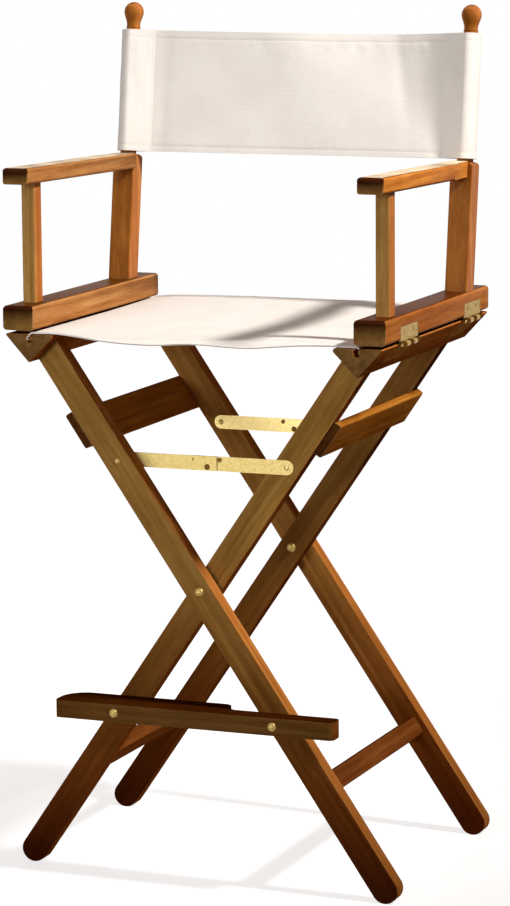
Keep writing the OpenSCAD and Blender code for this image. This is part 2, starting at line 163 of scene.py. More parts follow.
def varnished_beech(name, turn, seed, side=(1, 1, 1), front=(1, 1, 1), legs=False, varnish=0.0):
    """Beech coloured honey brown by staining, beneath a thin satin varnish: fine straight grain, short
    dark flecks, edges pale in patches, partly worn by handling and partly a painted highlight, a painted
    sheen on the armrests' tops, nearly black red round the tops of the arms' ends, a painted shadow on the
    left arm's inner face, and painted shade on faces turned to the front and back, on level tops, on
    undersides and low on the legs. turn lays the grain along the piece and seed moves its pattern; side and
    front tint its long sides and its front and rear faces, set piece by piece partly as painted shade;
    varnish is how strongly it mirrors the room."""
    material, tree = new_material(name)
    place = add(tree, "ShaderNodeTexCoord")
    turned = add(tree, "ShaderNodeMapping", {"Vector": place.outputs["Object"], "Rotation": turn,
                                             "Location": (seed * 0.37, seed * 0.11, seed * 0.53)})
    # growth bands about 9 mm apart, drawn out along the grain
    along = add(tree, "ShaderNodeMapping", {"Vector": turned.outputs[0], "Scale": (1, 1, 0.05)}).outputs[0]
    bands = add(tree, "ShaderNodeTexNoise", {"Vector": along, "Scale": 110.0, "Detail": 4.0,
                                             "Roughness": 0.55, "Distortion": 0.5}).outputs["Fac"]
    # fibres are 0.2 mm wide and drawn at 1.4 mm so that they show
    fibres = add(tree, "ShaderNodeTexNoise", {"Vector": along, "Scale": 720.0, "Detail": 3.0,
                                              "Roughness": 0.7}).outputs["Fac"]
    # the stain lies in clouds about 90 mm across
    clouds = add(tree, "ShaderNodeTexNoise", {"Vector": turned.outputs[0], "Scale": 11.0,
                                              "Detail": 3.0}).outputs["Fac"]
    long_side = ramp(tree, bands, [(0.28, "#99582A"), (0.44, "#AB6A34"),
                                   (0.58, "#B87840"), (0.74, "#C6884C")])
    # painted shade: faces turned to the front and back get a darker, more olive tone than the long sides
    front_face_shade = ramp(tree, bands, [(0.28, "#84602E"), (0.46, "#936C38"),
                                    (0.60, "#9C7641"), (0.74, "#A8834D")])
    normal = add(tree, "ShaderNodeNewGeometry").outputs["Normal"]
    ways = add(tree, "ShaderNodeSeparateXYZ", {0: normal}).outputs
    facing = add(tree, "ShaderNodeMath", {0: ways["Y"]}, operation="ABSOLUTE").outputs[0]
    facing = add(tree, "ShaderNodeMapRange", {"Value": facing, "From Min": 0.55, "From Max": 0.9}).outputs[0]
    # each piece has its own tints, partly its own colour and partly painted shade
    long_side = mix(tree, 1.0, long_side, tuple(side) + (1,), "MULTIPLY")
    front_face_shade = mix(tree, 1.0, front_face_shade, tuple(front) + (1,), "MULTIPLY")
    if legs:
        # painted shade: the legs' front and rear faces are redder and darker towards the floor, where less
        # light reaches; the ramp spans half a metre
        height = add(tree, "ShaderNodeSeparateXYZ", {0: place.outputs["Object"]}).outputs["Z"]
        height = add(tree, "ShaderNodeMath", {0: height, 1: 2.0}, operation="MULTIPLY").outputs[0]
        floor_shade = ramp(tree, height, [(0.04, (0.22, 0.09, 0.08, 1)), (0.30, (0.52, 0.29, 0.20, 1)),
                                   (0.60, (0.80, 0.66, 0.56, 1)), (0.92, (1, 1, 1, 1))])
        front_face_shade = mix(tree, 1.0, front_face_shade, floor_shade, "MULTIPLY")
    tone = mix(tree, facing, long_side, front_face_shade)
    # painted shade: level tops are made darker and duller
    level = add(tree, "ShaderNodeMapRange", {"Value": ways["Z"], "From Min": 0.8,
                                            "From Max": 0.97}).outputs[0]
    tone = mix(tree, level, tone, linear("#857658"), "MULTIPLY")
    # painted shade: undersides are a little darker and browner
    under = add(tree, "ShaderNodeMapRange", {"Value": ways["Z"], "From Min": -0.15,
                                            "From Max": -0.5}).outputs[0]
    tone = mix(tree, under, tone, (0.9, 0.86, 0.78, 1), "MULTIPLY")
    fine = ramp(tree, fibres, [(0.34, (0.70, 0.64, 0.58, 1)), (0.54, (1, 1, 1, 1))])
    tone = mix(tree, 0.7, tone, fine, "MULTIPLY")
    cloud = ramp(tree, clouds, [(0.3, (0.84, 0.80, 0.77, 1)), (0.7, (1.08, 1.07, 1.06, 1))])
    tone = mix(tree, 0.9, tone, cloud, "MULTIPLY")
    # edges are pale in patches, partly worn by rubbing and partly a painted highlight, and the armrests' tops
    # have a painted sheen
    rubbed = add(tree, "ShaderNodeAttribute", attribute_name="rubbed").outputs["Fac"]
    patches = add(tree, "ShaderNodeMapRange", {"Value": clouds, "From Min": 0.35, "From Max": 0.6,
                                              "To Min": 0.45}).outputs[0]
    rubbed = add(tree, "ShaderNodeMath", {0: rubbed, 1: patches}, operation="MULTIPLY").outputs[0]
    tone = mix(tree, rubbed, tone, linear("#EED9B6"))
    # the darkest wood of all: nearly black red round the tops of the arms' ends, and a painted shadow on the
    # left arm's inner face
    stained = add(tree, "ShaderNodeAttribute", attribute_name="stained").outputs["Fac"]
    tone = mix(tree, stained, tone, linear("#2C0A03"))
    gloss = add(tree, "ShaderNodeMapRange", {"Value": bands, "To Min": 0.30, "To Max": 0.44})
    bump = add(tree, "ShaderNodeBump", {"Height": fibres, "Strength": 0.25, "Distance": 0.0002})
    surface = add(tree, "ShaderNodeBsdfPrincipled", {
        "Base Color": tone, "Roughness": gloss.outputs[0], "Normal": bump.outputs[0],
        "IOR": 1.5, "Specular IOR Level": varnish})
    add(tree, "ShaderNodeOutputMaterial", {"Surface": surface.outputs[0]})
    return material


def plated_brass(name, tones, rough, edge=(1, 1, 1, 1)):
    """Brass sheet and turned brass under lacquer: fine rubbing marks about 4 mm across and tarnish spots
    about 2 mm across. tones run from tarnished to clean, and edge tints what is seen at a slant."""
    material, tree = new_material(name)
    place = add(tree, "ShaderNodeTexCoord")
    rub = add(tree, "ShaderNodeTexNoise", {"Vector": place.outputs["Object"], "Scale": 260.0,
                                           "Detail": 4.0, "Roughness": 0.65}).outputs["Fac"]
    spots = add(tree, "ShaderNodeTexNoise", {"Vector": place.outputs["Object"], "Scale": 420.0,
                                             "Detail": 2.0, "Roughness": 0.8}).outputs["Fac"]
    tone = ramp(tree, spots, list(zip((0.30, 0.44, 0.62), tones)))
    roughness = add(tree, "ShaderNodeMapRange", {"Value": rub, "To Min": rough - 0.1, "To Max": rough + 0.12})
    bump = add(tree, "ShaderNodeBump", {"Height": rub, "Strength": 0.2, "Distance": 0.0001})
    surface = add(tree, "ShaderNodeBsdfPrincipled", {
        "Base Color": tone, "Metallic": 1.0, "Roughness": roughness.outputs[0], "Normal": bump.outputs[0],
        "Specular Tint": edge})
    add(tree, "ShaderNodeOutputMaterial", {"Surface": surface.outputs[0]})
    return material


def cotton_duck():
    """Plain-woven white cotton duck, matt: threads 0.9 mm apart, drawn at 1.8 mm so that they show."""
    material, tree = new_material("white_cotton_duck")
    place = add(tree, "ShaderNodeUVMap", uv_map="cloth").outputs[0]
    threads = [add(tree, "ShaderNodeTexWave", {"Vector": place, "Scale": 175.0, "Distortion": 1.4,
                                               "Detail": 1.0, "Detail Scale": 0.6},
                   bands_direction=way).outputs["Fac"] for way in ("X", "Y")]
    weave = add(tree, "ShaderNodeMath", {0: threads[0], 1: threads[1]}, operation="MULTIPLY").outputs[0]
    # faint soiling about 60 mm across, and thick places in the yarn about 4 mm long
    soil = add(tree, "ShaderNodeTexNoise", {"Vector": place, "Scale": 16.0, "Detail": 4.0}).outputs["Fac"]
    slubs = add(tree, "ShaderNodeTexNoise", {"Vector": place, "Scale": 260.0, "Detail": 3.0,
                                             "Roughness": 0.7}).outputs["Fac"]
    tone = ramp(tree, soil, [(0.3, "#EAE6E0"), (0.7, "#F2EFE8")])
    weft = ramp(tree, weave, [(0.0, (0.955, 0.95, 0.945, 1)), (0.5, (1, 1, 1, 1))])
    tone = mix(tree, 1.0, tone, weft, "MULTIPLY")
    slub = ramp(tree, slubs, [(0.3, (0.95, 0.945, 0.94, 1)), (0.6, (1, 1, 1, 1))])
    tone = mix(tree, 1.0, tone, slub, "MULTIPLY")
    height = add(tree, "ShaderNodeMath", {0: weave, 1: slubs}, operation="ADD").outputs[0]
    bump = add(tree, "ShaderNodeBump", {"Height": height, "Strength": 0.3, "Distance": 0.0003})
    surface = add(tree, "ShaderNodeBsdfPrincipled", {
        "Base Color": tone, "Roughness": 0.92, "Normal": bump.outputs[0],
        "Sheen Weight": 0.08, "Sheen Roughness": 0.5, "IOR": 1.5, "Specular IOR Level": 0.2})
    add(tree, "ShaderNodeOutputMaterial", {"Surface": surface.outputs[0]})
    return material


def cotton_thread():
    """Off-white cotton sewing thread, matt, with a twist every 0.35 mm."""
    material, tree = new_material("cotton_thread")
    place = add(tree, "ShaderNodeTexCoord")
    twist = add(tree, "ShaderNodeTexWave", {"Vector": place.outputs["Object"], "Scale": 900.0},
                bands_direction="DIAGONAL").outputs["Fac"]
    tone = ramp(tree, twist, [(0.0, "#C9BFB4"), (1.0, "#DDD4CA")])
    surface = add(tree, "ShaderNodeBsdfPrincipled", {"Base Color": tone, "Roughness": 0.85, "IOR": 1.5,
                                                     "Specular IOR Level": 0.2})
    add(tree, "ShaderNodeOutputMaterial", {"Surface": surface.outputs[0]})
    return material


# the grain runs along the pattern's Z, so each wood is turned to lie along its piece
LEG_LEAN = math.radians(34.3)
QUARTER = math.pi / 2
# painted shade: the side and front tints below are set piece by piece, darker on pieces that lie in shade,
# such as the right arm base, the inner legs, the stretchers, the footrest, the cross boards' ends and the
# turned posts' fronts, and lighter on the lit right armrest
beech_up = varnished_beech("honey_beech_front_posts", (0, 0, 0.5), 1, side=(1, 0.95, 0.8),
                           front=(1.38, 1.42, 1.4), varnish=0.01)
beech_turned = varnished_beech("honey_beech_turned_posts", (0, 0, 0.9), 6, side=(1.05, 1, 0.9),
                               front=(0.95, 0.62, 0.3), varnish=0.03)
beech_left = varnished_beech("honey_beech_left_arm", (QUARTER, 0, 0.3), 2, side=(1.05, 1.25, 1.5),
                             front=(1, 1.05, 1), varnish=0.005)
beech_right = varnished_beech("honey_beech_right_arm", (QUARTER, 0, 0.4), 7, side=(0.9, 0.8, 0.6),
                              varnish=0.005)
beech_rest = varnished_beech("honey_beech_right_armrest", (QUARTER, 0, 0.4), 13, side=(1.25, 1.2, 0.75),
                             varnish=0.005)
beech_rail = varnished_beech("honey_beech_seat_rails", (QUARTER, 0, 0.2), 8, side=(1.0, 0.92, 0.7),
                             front=(0.72, 0.75, 0.85))
beech_board = varnished_beech("honey_beech_cross_boards", (QUARTER, 0, 0.1), 9, side=(1.05, 1.1, 0.6),
                              front=(0.3, 0.2, 0.15))
beech_low = varnished_beech("honey_beech_stretchers", (QUARTER, 0, 0.6), 10, side=(0.46, 0.38, 0.32))
beech_wide = varnished_beech("honey_beech_footrest", (0, QUARTER, 0), 3, side=(0.5, 0.42, 0.3),
                             front=(0.62, 0.56, 0.5))
beech_outer = varnished_beech("honey_beech_outer_front_leg", (0, LEG_LEAN, 0), 4, side=(1.1, 1.1, 0.9),
                              front=(1.3, 1.36, 1.25), legs=True)
beech_inner = varnished_beech("honey_beech_inner_front_leg", (0, -LEG_LEAN, 0), 5, side=(0.62, 0.48, 0.3),
                              front=(1.3, 1.33, 1.15), legs=True)
beech_outer_back = varnished_beech("honey_beech_outer_back_leg", (0, LEG_LEAN, 0), 11, side=(1.0, 1.0, 0.8),
                                   front=(1.5, 1.4, 1.2), legs=True)
beech_inner_back = varnished_beech("honey_beech_inner_back_leg", (0, -LEG_LEAN, 0), 12, side=(0.4, 0.3, 0.2),
                                   front=(0.8, 0.72, 0.6), legs=True)
stay_brass = plated_brass("satin_lacquered_brass_front", ("#A68E50", "#B9A265", "#C6B073"), 0.36)
back_brass = plated_brass("satin_lacquered_brass_back", ("#CFB670", "#E2C985", "#ECD592"), 0.36)
brass = plated_brass("worn_lacquered_brass", ("#705522", "#A08040", "#C4A55A"), 0.42)
# dark tarnished brass that also carries painted shade: the lower hinge leaves and their screws, which lie in
# shade, are made this dark
shaded_old_brass = plated_brass("tarnished_brass", ("#3E2710", "#5C401B", "#785929"), 0.5,
                         edge=(0.35, 0.24, 0.1, 1))
bolt_brass = plated_brass("dulled_turned_brass", ("#7E6536", "#9C8048", "#B59A5E"), 0.4)
duck = cotton_duck()
thread = cotton_thread()

# ---------- wood with eased edges ----------

EASE_STEPS = 3
# how pale the edges are made, partly wear and partly a painted highlight, and the armrests' tops, a painted
# sheen
ARM_EDGE_WEAR_AND_SHEEN, EDGE_WEAR_AND_SHEEN, TOP_PAINTED_SHEEN = 0.75, 0.2, 0.95


def loose_copy(node):
    """A merged, cleaned bmesh copy of a CAD node's mesh."""
    mesh = bmesh.new()
    mesh.from_mesh(nodes[node].data)
    bmesh.ops.remove_doubles(mesh, verts=mesh.verts, dist=1e-6)
    bmesh.ops.dissolve_limit(mesh, angle_limit=math.radians(0.5), verts=mesh.verts, edges=mesh.edges)
    return mesh


def finish_piece(name, data, paint, body, slot, *stands_for):
    """Makes a mesh a finished piece that rides on a body."""
    piece = bpy.data.objects.new(name, data)
    bpy.context.collection.objects.link(piece)
    data.materials.clear()
    data.materials.append(paint)
    if body:
        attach(piece, body)
    if stands_for:
        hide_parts(*stands_for)
    return piece


def eased(node, wood, width, darkening=None):
    """A copy of a CAD node's wood with its edges rounded over and made pale there, partly worn by handling
    and partly a painted highlight, its armrest tops given a painted sheen; the last argument says how dark a
    face is made, from its point and normal."""
    mesh = loose_copy(node)
    data = bpy.data.meshes.new(node + "_wood")
    mesh.to_mesh(data)
    mesh.free()
    # a second slot marks the faces that the rounding adds
    data.materials.clear()
    data.materials.append(wood)
    data.materials.append(wood)
    for face in data.polygons:
        face.material_index = 0
    holder = bpy.data.objects.new(node + "_blank", data)
    bpy.context.collection.objects.link(holder)
    bevel = holder.modifiers.new("ease", "BEVEL")
    bevel.width = width
    bevel.segments = EASE_STEPS
    bevel.limit_method = "ANGLE"
    bevel.angle_limit = math.radians(40)
    bevel.use_clamp_overlap = True
    bevel.material = 1
    done = bpy.data.meshes.new_from_object(holder.evaluated_get(bpy.context.evaluated_depsgraph_get()))
    bpy.data.objects.remove(holder)
    rubbed = done.attributes.new("rubbed", "FLOAT", "CORNER")
    stained = done.attributes.new("stained", "FLOAT", "CORNER")
    rub, dark = np.zeros(len(done.loops)), np.zeros(len(done.loops))
    # edges are made pale, partly wear and partly a painted highlight; the armrests' level tops get a painted
    # sheen
    edge_wear_and_sheen = ARM_EDGE_WEAR_AND_SHEEN if "arm" in node else EDGE_WEAR_AND_SHEEN
    for face in done.polygons:
        for corner in face.loop_indices:
            if face.material_index == 1:
                rub[corner] = edge_wear_and_sheen
            elif "armrest" in node and face.normal.z > 0.95:
                rub[corner] = TOP_PAINTED_SHEEN
            if darkening:
                dark[corner] = darkening(done.vertices[done.loops[corner].vertex_index].co, face.normal)
        face.material_index = 0
        face.use_smooth = True
    rubbed.data.foreach_set("value", rub)
    stained.data.foreach_set("value", dark)
    done.set_sharp_from_angle(angle=math.radians(35))
    return finish_piece(node + "_wood", done, wood, body_of(nodes[node])[0], "hardwood", node)


def end_darkening(node, drop):
    """Darker, nearly black red round the top of a block's front and rear ends, where its top curves over: it
    starts drop metres below the block's top and fades in over 4 mm. On the left arm it also paints a shadow
    on the inner face."""
    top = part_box(node)[1].z

    def dark(point, normal):
        if normal.x > 0.9 and "left" in node:
            # painted shadow: the left arm's inner face is redder and darker towards the rear, most along its
            # top 20 mm
            return 0.55 * smooth(point.y / 0.13) * (1.0 if point.z > top - 0.02 else 0.25)
        if abs(normal.y) < 0.25:
            return 0.0
        return 0.95 * smooth((point.z - (top - drop)) / 0.004 + 0.5)
    return dark


WOODS = {
    "left_arm_base": beech_left, "right_arm_base": beech_right,
    "left_front_post": beech_up, "right_front_post": beech_up,
    "left_back_post": beech_turned, "right_back_post": beech_turned,
    "left_armrest": beech_left, "right_armrest": beech_rest,
    "left_seat_rail": beech_rail, "right_seat_rail": beech_rail,
    "left_seat_dowel": beech_left, "right_seat_dowel": beech_left,
    "outer_front_leg": beech_outer, "outer_back_leg": beech_outer_back,
    "inner_front_leg": beech_inner, "inner_back_leg": beech_inner_back,
    "outer_board": beech_board, "inner_board": beech_board,
    "outer_stretcher": beech_low, "inner_stretcher": beech_low,
    "footrest": beech_wide,
}
# how far each piece's edges are rounded, in millimetres
EASED = {
    "outer_front_leg": 1.3, "outer_back_leg": 1.3, "inner_front_leg": 1.3, "inner_back_leg": 1.3,
    "left_seat_rail": 0.8, "right_seat_rail": 0.8, "footrest": 2.0,
    "left_armrest": 1.2, "right_armrest": 1.2, "left_arm_base": 1.0, "right_arm_base": 1.0,
    "outer_board": 0.8, "inner_board": 0.8,
}
# how far below its top the ends of each arm's pieces are made nearly black red, in millimetres
DARKENED_DEPTH = {"left_armrest": 11.0, "right_armrest": 11.0, "left_arm_base": 9.5, "right_arm_base": 9.5}


def metal_of(name):
    """The brass that a fitting is made of."""
    # the lower leaves get the dark brass as painted shade; the rivets and inner stay screws get it too
    if name.endswith(("lower_leaves", "rivets", "inner_stay_screws")):
        return shaded_old_brass
    if name.endswith(("bolt", "screws", "pins")):
        return bolt_brass
    if "front_stay" in name:
        return stay_brass
    if "back_stay" in name:
        return back_brass
    return brass


# sewn cloth replaces the two canvases below, so the paint they get here is never seen
for name, piece in nodes.items():
    for slot in piece.material_slots:
        slot.material = WOODS.get(name, metal_of(name))
for name, width in EASED.items():
    darkening = end_darkening(name, DARKENED_DEPTH[name] * MM) if name in DARKENED_DEPTH else None
    eased(name, WOODS[name], width * MM, darkening)

# ---------- cloth, in millimetres ----------

# from the middle of the cloth to either face, and what a folded hem adds below
HALF_CLOTH, HEM_FOLD = 0.6, 0.9


def slab(name, grid, flat, hem=0.0):
    """A closed sheet of cloth round a grid of points in metres: flat is the cut cloth's (u, v) at each
    point, for the weave, and hem is what is added below, one value for each place along the grid."""
    grid = np.array(grid, float)
    n, m = grid.shape[:2]
    across, along = np.gradient(grid, axis=0), np.gradient(grid, axis=1)
    normal = np.cross(across, along)
    normal /= np.linalg.norm(normal, axis=2)[:, :, None]
    above = np.full((n, m), HALF_CLOTH * MM)
    below = above + hem
    points = np.concatenate([(grid + normal * above[:, :, None]).reshape(-1, 3),
                             (grid - normal * below[:, :, None]).reshape(-1, 3)])
    size = n * m
    faces = []
    for i in range(n - 1):
        for j in range(m - 1):
            a, b, c, d = i * m + j, (i + 1) * m + j, (i + 1) * m + j + 1, i * m + j + 1
            faces += [(a, b, c, d), (a + size, d + size, c + size, b + size)]
    rim = ([i * m for i in range(n)] + [(n - 1) * m + j for j in range(1, m)]
           + [i * m + m - 1 for i in range(n - 2, -1, -1)] + [j for j in range(m - 2, 0, -1)])
    for a, b in zip(rim, rim[1:] + rim[:1]):
        faces.append((b, a, a + size, b + size))
    data = bpy.data.meshes.new(name)
    data.from_pydata([tuple(p) for p in points], [], faces)
    layer = data.uv_layers.new(name="cloth")
    spread = np.concatenate([flat.reshape(-1, 2), flat.reshape(-1, 2)])
    corners = np.zeros(len(data.loops), int)
    data.loops.foreach_get("vertex_index", corners)
    layer.data.foreach_set("uv", spread[corners].ravel())
    for face in data.polygons:
        face.use_smooth = True
    data.set_sharp_from_angle(angle=math.radians(50))
    data.validate()
    return data


def spaced(path, count):
    """A polyline resampled at count even steps, and how far along it each step is."""
    path = np.array(path, float)
    runs = np.concatenate([[0], np.cumsum(np.linalg.norm(np.diff(path, axis=0), axis=1))])
    marks = np.linspace(0, runs[-1], count)
    return np.stack([np.interp(marks, runs, path[:, k]) for k in range(path.shape[1])], axis=1), marks


# the seat goes round the left dowel, across, and round the right dowel
GROOVE_X, GROOVE_Z, RAIL_Z = 238.5, 754.0, 760.0
LOOP_R = 4.4
# half its width between the loops, and half its depth
SPAN, DEPTH = 236.0, 215.0
# the hems' inner edges, and the seams in them
HEM_Y, FRONT_SEAM_Y, REAR_SEAM_Y = 201.0, -201.0, 203.0
# the span's heights, as (x, z), along its front edge, its front seam, its middle and its rear edge
FRONT_EDGE = ((-240, 762), (-200, 763), (-166, 758.6), (-136, 754.5), (-99, 752), (-52, 751.5), (-18, 755.2),
              (12, 755.6), (62, 753), (84, 753.2), (120, 757), (155, 760.2), (191, 761.8), (240, 761.4))
FRONT_SEAM = ((-240, 761.4), (-200, 761.4), (-150, 757.5), (-106, 755.6), (-52, 757), (0, 759.4), (79, 762.8),
              (150, 764.4), (200, 763.4), (240, 761.2))
MIDDLE = ((-240, 761), (-200, 761), (-100, 757.2), (0, 755.8), (100, 757.6), (200, 761.2), (240, 761))
REAR = ((-240, 762), (-215, 766), (-100, 768), (0, 768.2), (150, 768), (205, 766), (240, 761.4))


def height_at(table, x, spread):
    """The table's height at x, averaged over spread on either side so that it has no corners."""
    places, heights = zip(*table)
    return sum(float(np.interp(x + spread * k / 3, places, heights)) for k in range(-3, 4)) / 7


def seat_height(x, y):
    """The middle of the cloth's thickness at x, and at y from the chair's middle."""
    edge, seam = height_at(FRONT_EDGE, x, 14), height_at(FRONT_SEAM, x, 22)
    middle, rear = height_at(MIDDLE, x, 30), height_at(REAR, x, 22)
    if y < -HEM_Y:
        z = seam + (edge - seam) * ((y + HEM_Y) / (HEM_Y - DEPTH)) ** 1.6
    elif y < 0:
        z = seam + (middle - seam) * smooth((y + HEM_Y) / HEM_Y)
    else:
        z = middle + (rear - middle) * (y / DEPTH) ** 2 * (1.5 - 0.5 * y / DEPTH)
    # the seams draw the cloth down beside them, and it is never quite flat
    z -= 0.7 * ridge(y - FRONT_SEAM_Y - 1, 2.6) + 0.45 * ridge(y - REAR_SEAM_Y + 1, 2.2)
    return z + 0.5 * noise.noise(Vector((x / 55, y / 70, 3.1))) * min(1, (240 - abs(x)) / 60)


def front_reach(x, y):
    """How much further forward the cloth reaches: its left end does, its right end doesn't."""
    return 5.0 * smooth((-x - 150) / 80) * smooth((-y - 150) / 60)


def loop_reach(side, angle, y):
    """Round the dowels its front draws back into the groove: late on the left, at once on the right."""
    begin = -30 if side < 0 else 66
    back = smooth((begin - angle) / 60)
    forward = front_reach(-SPAN, y) if side < 0 else 0.0
    return forward * (1 - back) - 9.0 * back * smooth((-y - 170) / 40)


# places from the middle to the right: x, with a height and an angle where the cloth rounds the dowel
half = [(x, None, None) for x in np.linspace(0, SPAN, 60)] + [(GROOVE_X + 0.6, RAIL_Z - 0.2, 90)]
half += [(GROOVE_X + LOOP_R * math.cos(math.radians(a)), GROOVE_Z + LOOP_R * math.sin(math.radians(a)), a)
         for a in np.linspace(72, -250, 22)]
rows = [(-x, z, a, -1) for x, z, a in half[:0:-1]] + [(x, z, a, 1) for x, z, a in half]
# points lie closer over the last 20 mm at the front and at the rear
HEM_ZONE = DEPTH - 20
depths = np.unique(np.round(np.concatenate([
    np.linspace(-DEPTH, -HEM_ZONE, 14), np.linspace(-HEM_ZONE, HEM_ZONE, 60),
    np.linspace(HEM_ZONE, DEPTH, 14)]), 3))
grid = np.array([[(x, y - front_reach(x, y), seat_height(x, y)) if a is None
                  else (x, y - loop_reach(side, a, y), z) for y in depths]
                 for x, z, a, side in rows]) * MM + np.array([0, Y_MID, 0])
# the weave is measured across the seat, along the row of points with this number, near its middle
MEASURED = 40
run = np.concatenate([[0], np.cumsum(np.linalg.norm(np.diff(grid[:, MEASURED], axis=0), axis=1))])
flat = np.stack(np.meshgrid(run, depths * MM, indexing="ij"), axis=2)
hem = np.where(np.abs(depths) > HEM_Y, HEM_FOLD * MM, 0.0)
seat = finish_piece("seat_cloth", slab("seat_cloth", grid, flat, hem), duck, None, "canvas", "seat_canvas")

# the back is a panel between two sleeves, leaning with the posts
LEAN = math.radians(7.8)
# a post's foot across and behind the middle, the arm bases' top, and the lower hem's height
POST_X, POST_Y, BASE_TOP, BACK_Z = 258.5, 141.5, 798.0, 981.0
BACK_H = 174 / math.cos(LEAN)
# the seams of the sleeves, and of the hems from the upper and lower edges
SEAM_X, HEM_TOP, HEM_LOW = 223.0, 11.0, 8.5


def back_point(x, d, v):
    """A point in metres from x across, d behind the posts' axis and v up the posts from the lower hem."""
    u = (BACK_Z - BASE_TOP) / math.cos(LEAN) + v
    return (x * MM, Y_MID + (POST_Y + d * math.cos(LEAN) + u * math.sin(LEAN)) * MM,
            (BASE_TOP - d * math.sin(LEAN) + u * math.cos(LEAN)) * MM)


def hem_seams(v):
    """1 on either hem's seam, dying away over 1.6 mm."""
    return ridge(BACK_H - HEM_TOP - v, 1.6) + ridge(HEM_LOW - v, 1.6)


def panel_point(x, v):
    """The panel's middle as (x, depth, v): bowed back a little, tilted at its right end, puckered along
    its hems. s runs from -1 to 1 across the panel and t from 0 to 1 up it."""
    s, t = x / SEAM_X, v / BACK_H
    bow = 1 - s * s
    depth = 3.0 * bow
    # its right end is pulled forward at the bottom and lies back at the top
    turn = 0.90 - 0.36 * t
    belly = (-4.0 + 20.0 * t) * (1 - max(0.0, (s - turn) / (1.0 - turn)) ** 2)
    depth += belly * smooth((s - turn + 0.75) / 0.75)
    # a crease beside each sleeve
    depth += 1.1 * ridge(s - 0.80 + 0.16 * t, 0.05) * smooth(t * 1.6) + 0.8 * ridge(s + 0.93, 0.045)
    # puckers below the upper hem, more of them to the right, and above the lower one
    puckers = 1.1 * noise.noise(Vector((x / 13, 0.7, 2.0))) * (0.4 + 0.6 * smooth((s + 0.2) / 0.8))
    depth += puckers * ridge(BACK_H - HEM_TOP - 7 - v, 7)
    depth += 0.5 * ridge(HEM_LOW + 5 - v, 6) * noise.noise(Vector((x / 15, 5.7, 2.0)))
    depth += 0.45 * hem_seams(v)
    depth += 0.8 * noise.noise(Vector((x / 70, v / 60, 9.3))) * bow
    # the upper edge hangs 1.5 mm lower in the middle
    dip = 1.5 * bow * smooth((v - 100) / 70)
    return x, depth, v - dip


# the panel's rows lie closer at its hems, and it runs on into the sleeves by the overlap
LOW_ZONE, TOP_ZONE, OVERLAP = 12, BACK_H - 16, 1.5
ups = np.unique(np.round(np.concatenate([
    np.linspace(0, LOW_ZONE, 10), np.linspace(LOW_ZONE, TOP_ZONE, 36),
    np.linspace(TOP_ZONE, BACK_H, 14)]), 3))
xs = np.linspace(-SEAM_X - OVERLAP, SEAM_X + OVERLAP, 200)
grid = np.array([[back_point(*panel_point(x, v)) for v in ups] for x in xs])
flat = np.stack(np.meshgrid(xs * MM, ups * MM, indexing="ij"), axis=2)
hem = np.where((ups > BACK_H - HEM_TOP) | (ups < HEM_LOW), HEM_FOLD * MM, 0.0)
panel = finish_piece("back_panel_cloth", slab("back_panel_cloth", grid, flat, hem), duck, "left_arm",
                     "canvas", "back_canvas")

# how far the sleeves' cloth stands from a post's axis: outwards, inwards, in front and behind
AROUND_OUT, AROUND_IN, AROUND_FRONT, AROUND_BEHIND = 15.4, 12.0, 15.4, 13.4


def sleeve(side, body):
    """One pocket round a turned stick: two layers from the seam, round the stick, sewn together."""
    reach = POST_X - SEAM_X
    path = [(-reach, -0.9), (-reach + 3, -1.8)]
    for a in np.linspace(100, -100, 36):
        c, s = math.cos(math.radians(a)), math.sin(math.radians(a))
        wide = AROUND_OUT if c > 0 else AROUND_IN
        thick = AROUND_FRONT if s > 0 else AROUND_BEHIND
        path.append((wide * c, -thick * s))
    path += [(-reach + 3, 1.6), (-reach, 0.9)]
    points, marks = spaced(path, 80)
    grid = np.zeros((len(points), len(ups), 3))
    for i, (px, pd) in enumerate(points):
        for j, v in enumerate(ups):
            puff = 0.6 * noise.noise(Vector((marks[i] / 16, v / 45, 4.0 + side)))
            swell = 1 + (puff - 0.35 * hem_seams(v)) / 16 * min(1.0, (px + reach) / 12)
            grid[i, j] = back_point(side * (POST_X + px * swell), pd * swell, v)
    if side < 0:
        grid, marks = grid[::-1], marks[::-1]
    flat = np.stack(np.meshgrid(marks * MM, ups * MM, indexing="ij"), axis=2)
    name = ("left" if side < 0 else "right") + "_sleeve_cloth"
    return finish_piece(name, slab(name, grid, flat), duck, body, "canvas", "back_canvas")


left_sleeve = sleeve(-1, "left_arm")
right_sleeve = sleeve(1, "right_arm")

# ---------- stitching ----------

# in metres: from one stitch to the next, a stitch's length, and the thread's radius
SPACING, STITCH, THREAD_R = 0.0042, 0.0028, 0.0004


def real_mesh(data, tree, **inputs):
    """The mesh that a Geometry Nodes tree makes of data, with its named inputs set."""
    holder = bpy.data.objects.new(data.name + "_guide", data)
    bpy.context.collection.objects.link(holder)
    layer = holder.modifiers.new("nodes", "NODES")
    layer.node_group = tree
    for item in tree.interface.items_tree:
        if item.name in inputs:
            layer[item.identifier] = inputs[item.name]
    done = bpy.data.meshes.new_from_object(holder.evaluated_get(bpy.context.evaluated_depsgraph_get()))
    bpy.data.objects.remove(holder)
    return done


